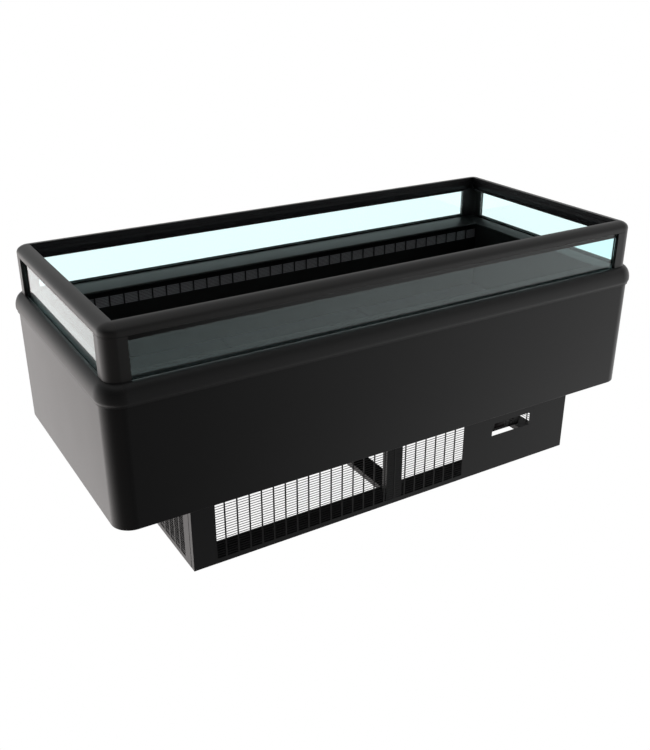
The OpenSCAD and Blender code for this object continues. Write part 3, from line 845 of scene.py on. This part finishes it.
class FREEZER_OT_glazing(bpy.types.Operator):
    """Toughened glass panes with ground edges, and their seals"""

    bl_idname = "freezer.glazing"
    bl_label = "Glazing"

    def execute(self, context):
        for side in ("front", "rear", "left", "right"):
            low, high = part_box(f"glass_{side}")
            bm = bmesh.new()
            add_box(bm, low, high)
            finish_piece(bm, f"pane_{side}", "clear_glass", (f"glass_{side}",), width=0.8 * MM,
                         smooth=FLAT)
            self.seals(side, low, high)
        return {"FINISHED"}

    def seals(self, side, low, high):
        """A strip under the outer face of the glass, pale as a painted highlight, and dark seals round the pane.
        """
        across = 1 if side in ("front", "rear") else 0
        outward = -1 if side in ("front", "left") else 1
        outer, inner = (low, high) if outward < 0 else (high, low)
        outer, inner = outer[across], inner[across]
        foot = LEDGE_HIGH.z - 0.5 * MM
        # the sill strip's pale finish is a painted highlight along the foot of the glass
        strips = (("sill_highlight_strip", SEAT_Z, 1.3 * MM, outer, outward * MM, "sill_painted_highlight", 0.3),
                  ("head_seal", LIP_Z - 2 * MM, 2.4 * MM, outer, outward * MM, "gasket_rubber", 0.3),
                  ("foot_seal", foot, 5 * MM, inner, -outward * 2.5 * MM, "gasket_rubber", 0.6))
        for name, start, tall, face, deep, look, edge in strips:
            a, b = low.copy(), high.copy()
            a.z, b.z = start, start + tall
            a[across], b[across] = sorted((face, face + deep))
            bm = bmesh.new()
            add_box(bm, a, b)
            finish_piece(bm, f"{name}_{side}", "bumper_pvc", look=look, width=edge * MM,
                         smooth=CRISP)


class FREEZER_OT_tank(bpy.types.Operator):
    """Ledge round the well and the duct panels with their air grilles"""

    bl_idname = "freezer.tank"
    bl_label = "Tank"

    def execute(self, context):
        self.ledge()
        for name, sy in (("front", -1), ("rear", 1)):
            self.duct_panel(name, sy)
        return {"FINISHED"}

    def ledge(self):
        """Two sloping lengths and two level ends."""
        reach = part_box("tank_floor")[1].x - 4 * MM
        for name, sy in (("front", -1), ("rear", 1)):
            bm = bmesh.new()
            points = [Vector((-reach, sy * y, z)) for y, z in ledge_outline()]
            run_outline(bm, points, Vector((2 * reach, 0, 0)))
            # the front ledge takes the painted-shade copy of the tank coating, the rear ledge the plain coating
            front = sy < 0
            finish_piece(bm, f"ledge_{name}", "tank_paint", ("coaming",) if front else (),
                         look="ledge_painted_shade" if front else None)
        turn = arc(CORE_X, CORE_Y, GLASS_U, GLASS_U, 90, 0, 8)
        edge = [(reach, CORE_Y + GLASS_U)] + turn
        edge += [(x, -y) for x, y in reversed(edge)]
        for name, sx in (("left", -1), ("right", 1)):
            bm = bmesh.new()
            points = [Vector((sx * x, y, LEDGE_LOW.z)) for x, y in edge]
            run_outline(bm, points, Vector((0, 0, LEDGE_HIGH.z - LEDGE_LOW.z)))
            nose = [v for v in bm.verts if abs(v.co.x) < reach + 1 * MM and v.co.z > LEDGE_LOW.z]
            bmesh.ops.translate(bm, vec=(0, 0, -11 * MM), verts=nose)
            finish_piece(bm, f"ledge_{name}", "tank_paint", width=1.5 * MM, smooth=CRISP)

    def duct_panel(self, name, sy):
        """An air window with slats over a plain sheet, openings below the deck, a pan shelf."""
        low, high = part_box(f"duct_panel_{name}")
        thick = 1.2 * MM
        face = high.y - thick if sy > 0 else low.y
        ends = (low.x, high.x)
        slats, slat_pitch = 7, 5.3 * MM
        band = high.z - (slats * slat_pitch + 1.6 * MM)
        depth = Vector((0, thick, 0))

        def place(x, z):
            return Vector((x, face, z))

        bm = bmesh.new()
        windows = slot_lines(*ends, low.x + 2.5 * MM, 52.4 * MM, 47.4 * MM, 35)
        rows = [band - 1 * MM, band, high.z - 1.5 * MM, high.z]
        slotted_sheet(bm, windows, rows, place, depth)
        step = (high.x - low.x) / 6
        openings = slot_lines(*ends, low.x + step / 2 - 0.09, step, 0.18, 6)
        rows = [low.z, low.z + 20 * MM, low.z + 90 * MM, band - 1 * MM]
        slotted_sheet(bm, openings, rows, place, depth)
        bmesh.ops.remove_doubles(bm, verts=bm.verts, dist=1e-6)
        inner = face if sy > 0 else face + thick
        shelf = sorted((inner - sy * 15 * MM, inner))
        pan_under = DECK_HIGH.z - 2 * MM
        add_box(bm, (low.x, shelf[0], pan_under - 2 * MM), (high.x, shelf[1], pan_under))
        finish_piece(bm, f"air_duct_{name}", "tank_paint", (f"duct_panel_{name}",),
                     look="duct_coating")
        outer = face + thick if sy > 0 else face
        bm = bmesh.new()
        for k in range(slats):
            z = band + (k + 0.5) * slat_pitch
            slat = [(0.4, -2.0), (1.2, -2.2), (3.4, 0.7), (2.6, 0.9)]
            points = [Vector((low.x + thick, outer + sy * a * MM, z + b * MM)) for a, b in slat]
            run_outline(bm, points, Vector((high.x - low.x - 2 * thick, 0, 0)))
        # the slats' light grey is partly painted light, brighter than the dim well would light them
        finish_piece(bm, f"air_slats_{name}", "tank_paint", look="slat_grey_painted_light")


class FREEZER_OT_base_grilles(bpy.types.Operator):
    """Slotted steel sheets round the base"""

    bl_idname = "freezer.base_grilles"
    bl_label = "Base grilles"

    def execute(self, context):
        sizes = context.scene.freezer_sizes
        pitch, slot = sizes.slot_pitch_x, sizes.slot_pitch_x - sizes.bar_x
        row, hole = sizes.slot_pitch_z, sizes.slot_pitch_z - sizes.bar_z
        rim = 4 * MM
        for node, count, margin in (("front_grille", 23, -4 * MM), ("rear_grille", 34, 45 * MM),
                                    ("end_grille_left", 17, 42 * MM),
                                    ("end_grille_right", 17, 42 * MM)):
            low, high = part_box(node)
            size = high - low
            along = 0 if size.x > size.y else 1
            columns = slot_lines(low[along], high[along], low[along] + margin, pitch, slot, count)
            columns[1] = max(columns[1], low[along] + rim)
            rows = slot_lines(low.z, high.z, FIRST_ROW_Z, row, hole, GRILLE_ROWS)

            def place(a, z):
                return Vector((a, low.y, z)) if along == 0 else Vector((low.x, a, z))

            thick = Vector((0, size.y, 0)) if along == 0 else Vector((size.x, 0, 0))
            bm = bmesh.new()
            slotted_sheet(bm, columns, rows, place, thick)
            finish_piece(bm, f"{node}_sheet", "base_steel", (node,))
        return {"FINISHED"}


class FREEZER_OT_feet(bpy.types.Operator):
    """Levelling feet with threaded studs, and the nuts that lock them"""

    bl_idname = "freezer.feet"
    bl_label = "Feet"

    def execute(self, context):
        nuts = bmesh.new()
        nut_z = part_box("foot_lock_nuts")[0].z
        thread = []
        for k in range(27):
            thread += [(5.35, 10.6 + 1.5 * k), (5.95, 11.35 + 1.5 * k)]
        profile = [(0, 0.0), (18.6, 0.0), (20, 1.4), (20, 5), (18.5, 6.8), (11, 7.6), (9, 8),
                   (8.6, 10), (5.4, 10.2)] + thread + [(5, 52), (0, 52)]
        profile = [(r * MM, z * MM) for r, z in profile]
        for node in ("foot_front_left", "foot_front_right", "foot_rear_left", "foot_rear_right"):
            low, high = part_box(node)
            x, y = (low.x + high.x) / 2, (low.y + high.y) / 2
            bm = bmesh.new()
            revolve(bm, profile, (x, y, low.z), steps=40)
            finish_piece(bm, f"{node}_turned", "foot_nylon", (node,), body=node)
            bmesh.ops.create_cone(nuts, cap_ends=True, segments=6, radius1=10.4 * MM,
                                  radius2=10.4 * MM, depth=9.8 * MM,
                                  matrix=Matrix.Translation((x, y, nut_z + 5 * MM)))
        finish_piece(nuts, "lock_nuts_hexagon", "zinc_steel", ("foot_lock_nuts",),
                     width=0.7 * MM, smooth=CRISP)
        return {"FINISHED"}


class FREEZER_OT_coils(bpy.types.Operator):
    """Finned coils with their tube bends"""

    bl_idname = "freezer.coils"
    bl_label = "Coils"

    def execute(self, context):
        self.coil("condenser_coil", 150, 2, 4)
        self.coil("evaporator_coil", 140, 4, 2)
        return {"FINISHED"}

    def coil(self, node, fins, columns, rows):
        """Thin fins over rows of tubes, joined by bends at both ends."""
        low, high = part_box(node)
        start, stop = low.x + 12 * MM, high.x - 12 * MM
        bm = bmesh.new()
        step = (stop - start) / (fins - 1)
        for k in range(fins):
            x = start + k * step
            add_box(bm, (x - 0.15 * MM, low.y, low.z), (x + 0.15 * MM, high.y, high.z))
        finish_piece(bm, f"{node}_fins", "fin_aluminium", (node,))
        bm = bmesh.new()
        pitch = (high.z - low.z) / rows
        for c in range(columns):
            y = low.y + (high.y - low.y) * (c + 0.5) / columns
            for r in range(rows):
                z = low.z + pitch * (r + 0.5)
                add_round(bm, (low.x, y, z), 4.8 * MM, high.x - low.x, axis="X", segments=12)
                if r < rows - 1:
                    end, outward = ((high.x, 1), (low.x, -1))[r % 2]
                    add_bend(bm, (end, y, z + pitch / 2), pitch / 2, 4.8 * MM, outward)
        finish_piece(bm, f"{node}_tubes", "fin_aluminium", look="drawn_copper")


class FREEZER_OT_fans(bpy.types.Operator):
    """Fan wheels with twisted blades, and their motors"""

    bl_idname = "freezer.fans"
    bl_label = "Fans"

    def execute(self, context):
        for node, tip, hub, bore in (("evaporator_fan_left", 45, 13, 3.05),
                                     ("evaporator_fan_right", 45, 13, 3.05),
                                     ("condenser_fan", 80, 22, 4.05)):
            self.wheel(node, tip * MM, hub * MM, bore * MM)
        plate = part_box("evaporator_fan_plate")[1].y
        bm = bmesh.new()
        for name in ("evaporator_fan_left", "evaporator_fan_right"):
            self.motor(bm, self.centre(name), plate, 1, (18, 36, 112, 3, 26))
        finish_piece(bm, "evaporator_motor_bodies", "zinc_steel", ("evaporator_fan_motors",),
                     smooth=CRISP)
        bm = bmesh.new()
        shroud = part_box("condenser_fan_shroud")[0].y
        self.motor(bm, self.centre("condenser_fan"), shroud, -1, (32, 52, 196, 4, 20))
        finish_piece(bm, "condenser_motor_body", "zinc_steel", ("condenser_fan_motor",),
                     smooth=CRISP)
        return {"FINISHED"}

    def centre(self, body):
        """Where a fan's axis stands, as X and Z."""
        joint = next(j for j in frame["joints"] if j["child"] == body)
        return joint["pos_m"][0], joint["pos_m"][2]

    def wheel(self, node, tip, hub, bore):
        """A ring hub with a domed face and five curved blades."""
        low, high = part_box(node)
        x, z = self.centre(node)
        wide = min(high.y - low.y, hub)
        middle = (low.y + high.y) / 2
        bm = bmesh.new()
        ring = [(bore, -wide / 2), (hub - 1 * MM, -wide / 2), (hub, 1 * MM - wide / 2),
                (hub, wide / 2 - 2 * MM), (hub - 2 * MM, wide / 2), (bore, wide / 2)]
        revolve(bm, ring + ring[:1], (x, middle, z), axis="Y")
        for blade in range(5):
            made = bmesh.ops.create_grid(bm, x_segments=6, y_segments=5, size=1.0)
            for vert in made["verts"]:
                out, along = (vert.co.x + 1) / 2, vert.co.y
                radius = hub - 0.5 * MM + (tip - hub - 1 * MM) * out
                angle = blade * math.tau / 5 + along * (0.42 + 0.1 * out) + 0.25 * out
                cup = 0.12 * wide * (1 - along * along)
                vert.co = Vector((x + radius * math.cos(angle),
                                  middle - along * wide * (0.42 - 0.12 * out) + cup,
                                  z + radius * math.sin(angle)))
            faces = list({face for vert in made["verts"] for face in vert.link_faces})
            bmesh.ops.solidify(bm, geom=faces, thickness=1.2 * MM)
        finish_piece(bm, f"{node}_wheel", "fan_plastic", (node,), body=node)

    def motor(self, bm, centre, face, way, sizes):
        """A stamped bar, a stepped motor body behind it and a shaft in front."""
        radius, long, bar, shaft, reach = (size * MM for size in sizes)
        x, z = centre
        near, far = sorted((face, face + way * 3 * MM))
        add_box(bm, (x - bar / 2, near, z - 6 * MM), (x + bar / 2, far, z + 6 * MM))
        start = face + way * 3 * MM
        profile = [(0, 0), (radius - 2 * MM, 0), (radius, 2 * MM), (radius, long * 0.35),
                   (radius - 3 * MM, long * 0.38), (radius - 3 * MM, long * 0.6),
                   (radius, long * 0.63), (radius, long - 3 * MM), (radius - 3 * MM, long),
                   (0, long)]
        revolve(bm, [(r, way * d) for r, d in profile], (x, start, z), axis="Y")
        add_round(bm, (x, face - (reach if way > 0 else 0), z), shaft, reach, axis="Y")


class FREEZER_OT_compressor(bpy.types.Operator):
    """Compressor, drier and copper pipes"""

    bl_idname = "freezer.compressor"
    bl_label = "Compressor and pipes"

    def execute(self, context):
        low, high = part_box("compressor")
        x, y = low.x + 90 * MM, (low.y + high.y) / 2
        bm = bmesh.new()
        body = [(0, 15), (62, 15), (74, 19), (78, 28), (78, 72), (79.6, 73), (79.6, 77), (78, 78),
                (78, 132), (76, 138), (70, 144.4), (60, 153), (45, 162.3), (30, 168.4),
                (15, 171.9), (0, 173)]
        revolve(bm, [(r * MM, h * MM) for r, h in body], (x, y, low.z), steps=48)
        add_box(bm, (x - 90 * MM, y - 80 * MM, low.z + 12 * MM),
                (x + 90 * MM, y + 80 * MM, low.z + 15 * MM))
        for sx in (-1, 1):
            for sy in (-1, 1):
                grommet = [(4, 0), (14, 0), (14, 4), (10, 6), (14, 8), (14, 11.9), (4, 11.9)]
                revolve(bm, [(r * MM, h * MM) for r, h in grommet],
                        (x + sx * 70 * MM, y + sy * 60 * MM, low.z), steps=20)
        finish_piece(bm, "compressor_shell", "compressor_paint", ("compressor",), smooth=CRISP)
        bm = bmesh.new()
        add_box(bm, (x + 76 * MM, y - 30 * MM, low.z + 40 * MM),
                (x + 108 * MM, y + 30 * MM, low.z + 100 * MM))
        finish_piece(bm, "compressor_terminal_box", "compressor_paint", look="black_nylon",
                     width=3 * MM)
        self.pipes(x, y, low.z)
        return {"FINISHED"}

    def pipes(self, x, y, base):
        """Suction and discharge lines, with the drier between condenser and tank."""
        coil_low, coil_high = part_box("condenser_coil")
        left, roof = x - 76 * MM, WALL_LOW.z
        top_row = coil_high.z - 24 * MM
        pipe("suction_line", ((left, y, base + 100 * MM), (left - 30 * MM, y, base + 100 * MM),
                              (left - 35 * MM, y, base + 150 * MM),
                              (left - 35 * MM, y - 40 * MM, roof - 12 * MM),
                              (left - 35 * MM, y - 60 * MM, roof + 1 * MM)), 5 * MM)
        pipe("discharge_line", ((x, y + 74 * MM, base + 110 * MM), (x, y + 100 * MM, base + 112 * MM),
                                (x - 20 * MM, y + 132 * MM, top_row - 20 * MM),
                                (x - 60 * MM, y + 132 * MM, top_row),
                                (coil_high.x, coil_low.y + 10 * MM, top_row)), 3.5 * MM)
        drier = (coil_low.x - 30 * MM, y - 20 * MM, base + 30 * MM)
        pipe("liquid_line", ((coil_low.x, coil_low.y + 10 * MM, coil_low.z + 24 * MM),
                             (coil_low.x - 30 * MM, coil_low.y + 10 * MM, coil_low.z + 24 * MM),
                             (coil_low.x - 30 * MM, y + 70 * MM, base + 34 * MM),
                             (drier[0], drier[1] + 84 * MM, drier[2])), 3 * MM)
        bm = bmesh.new()
        shell = [(0, -4), (3.2, -4), (3.2, 4), (9.5, 16), (9.5, 74), (3.2, 86), (0, 86)]
        revolve(bm, [(r * MM, h * MM) for r, h in shell], drier, axis="Y", steps=24)
        finish_piece(bm, "filter_drier", "fin_aluminium", look="drawn_copper")
        pipe("capillary", (drier, (drier[0], drier[1] - 30 * MM, drier[2]),
                           (drier[0] + 10 * MM, drier[1] - 50 * MM, drier[2] + 90 * MM),
                           (drier[0] + 10 * MM, drier[1] - 50 * MM, roof + 1 * MM)), 1.2 * MM)


class FREEZER_OT_controls(bpy.types.Operator):
    """Controller window, bracket screws and the cord gland"""

    bl_idname = "freezer.controls"
    bl_label = "Controls"

    def execute(self, context):
        low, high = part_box("controller")
        bm = bmesh.new()
        add_box(bm, (low.x + 8 * MM, low.y - 0.4 * MM, low.z + 8 * MM),
                (low.x + 54 * MM, low.y + 0.2 * MM, high.z - 8 * MM))
        finish_piece(bm, "controller_window", "fan_plastic", look="smoked_acrylic",
                     width=0.2 * MM)
        plate_low, plate_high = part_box("control_bracket")
        bm = bmesh.new()
        dome = [(0, 2.2), (2.4, 1.9), (3.8, 0.6), (4, 0)]
        for x in (plate_low.x + 6 * MM, plate_high.x - 6 * MM):
            revolve(bm, [(r * MM, -h * MM) for r, h in dome],
                    (x, plate_low.y, plate_high.z - 14 * MM), axis="Y", steps=20)
        finish_piece(bm, "bracket_screws", "zinc_steel")
        gland_low, gland_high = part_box("cord_gland")
        centre = (gland_low + gland_high) / 2
        centre.y = gland_low.y
        dome = [(4.2, 0), (14, 0), (14, 3.6), (13, 4), (10.5, 4), (10.5, 9), (9.6, 10), (9, 13),
                (6.5, 15.6), (4.2, 16), (4.2, 0)]
        bm = bmesh.new()
        revolve(bm, [(r * MM, h * MM) for r, h in dome], centre, axis="Y", steps=24)
        finish_piece(bm, "cord_gland_dome", "fan_plastic", ("cord_gland",), smooth=CRISP)
        return {"FINISHED"}


class FREEZER_OT_soft_edges(bpy.types.Operator):
    """Small radii on the parts that come straight from the frame"""

    bl_idname = "freezer.soft_edges"
    bl_label = "Soften frame parts"

    def execute(self, context):
        for name in SOFTENED:
            node = NODES[name]
            weld = node.modifiers.new("weld", "WELD")
            weld.merge_threshold = 1e-5
            bevel = node.modifiers.new("soft_edge", "BEVEL")
            bevel.width = context.scene.freezer_sizes.edge
            bevel.segments = 2
            bevel.limit_method = "ANGLE"
            bevel.angle_limit = math.radians(50)
        return {"FINISHED"}


class FREEZER_PT_sidebar(bpy.types.Panel):
    """Sidebar list of the freezer's settings and steps"""

    bl_label = "Freezer finish"
    bl_idname = "FREEZER_PT_sidebar"
    bl_space_type = "VIEW_3D"
    bl_region_type = "UI"
    bl_category = "Freezer"

    def draw(self, context):
        layout = self.layout
        scene = context.scene
        for group in (scene.freezer_sizes, scene.freezer_colours, scene.freezer_studio):
            box = layout.box()
            for name in group.bl_rna.properties.keys():
                if name not in ("rna_type", "name"):
                    box.prop(group, name)
        for step in STEPS:
            layout.operator(step.bl_idname)


SETTINGS = (FreezerSizes, FreezerColours, StudioSettings)
STEPS = (FREEZER_OT_studio, FREEZER_OT_frame_finishes, FREEZER_OT_walls, FREEZER_OT_bumper,
         FREEZER_OT_top_rail, FREEZER_OT_glazing, FREEZER_OT_tank, FREEZER_OT_base_grilles,
         FREEZER_OT_feet, FREEZER_OT_coils, FREEZER_OT_fans, FREEZER_OT_compressor,
         FREEZER_OT_controls, FREEZER_OT_soft_edges)


def register():
    """Registers the classes and hangs the settings on the scene."""
    for cls in (*SETTINGS, *STEPS, FREEZER_PT_sidebar):
        bpy.utils.register_class(cls)
    bpy.types.Scene.freezer_sizes = PointerProperty(type=FreezerSizes)
    bpy.types.Scene.freezer_colours = PointerProperty(type=FreezerColours)
    bpy.types.Scene.freezer_studio = PointerProperty(type=StudioSettings)


def unregister():
    """Takes the settings and classes away again."""
    del bpy.types.Scene.freezer_studio
    del bpy.types.Scene.freezer_colours
    del bpy.types.Scene.freezer_sizes
    for cls in reversed((*SETTINGS, *STEPS, FREEZER_PT_sidebar)):
        bpy.utils.unregister_class(cls)


def main():
    """Builds every piece."""
    register()
    for step in STEPS:
        area, name = step.bl_idname.split(".")
        getattr(getattr(bpy.ops, area), name)()


if __name__ == "__main__":
    main()
